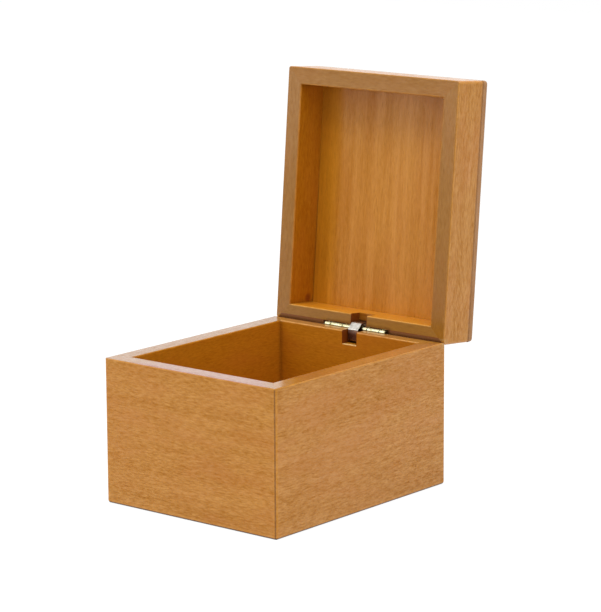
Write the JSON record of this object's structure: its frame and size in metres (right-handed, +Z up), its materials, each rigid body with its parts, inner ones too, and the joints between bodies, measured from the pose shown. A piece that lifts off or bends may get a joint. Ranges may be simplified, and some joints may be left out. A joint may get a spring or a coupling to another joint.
{
  "type": "hinged wooden box",
  "caption": "Wooden box with mitred walls and a deep hinged lid, shown open: the lid leans back on a sprung brass hinge, and the box keeps small things dry and tidy.",
  "frame": {"origin": "middle of the base's underside, on the surface that the box stands on", "axes": "+Z up, -Y to the front of the box, away from the hinge, +X to the right seen from the front"},
  "size_m": [0.1008, 0.1545, 0.1875],
  "materials": {
    "lacquered_wood": "honey brown, satin lacquer",
    "brass": "polished",
    "spring_steel": "bright rolled strip"
  },
  "bodies": {
    "base": {"base_front_wall": "lacquered_wood", "base_back_wall": "lacquered_wood", "base_left_wall": "lacquered_wood", "base_right_wall": "lacquered_wood", "base_floor": "lacquered_wood", "hinge_base_leaf": "brass", "hinge_pin": "brass", "hinge_spring": "spring_steel"},
    "lid": {"lid_front_rail": "lacquered_wood", "lid_back_rail": "lacquered_wood", "lid_left_rail": "lacquered_wood", "lid_right_rail": "lacquered_wood", "lid_top_panel": "lacquered_wood", "hinge_lid_leaf": "brass"}
  },
  "joints": [
    {"name": "lid_hinge", "type": "hinge", "parent": "base", "child": "lid", "pos_m": [0, 0.0594, 0.0676], "axis": [1, 0, 0], "range_deg": [0, 95.1], "deforming": ["hinge_spring"]}
  ]
}
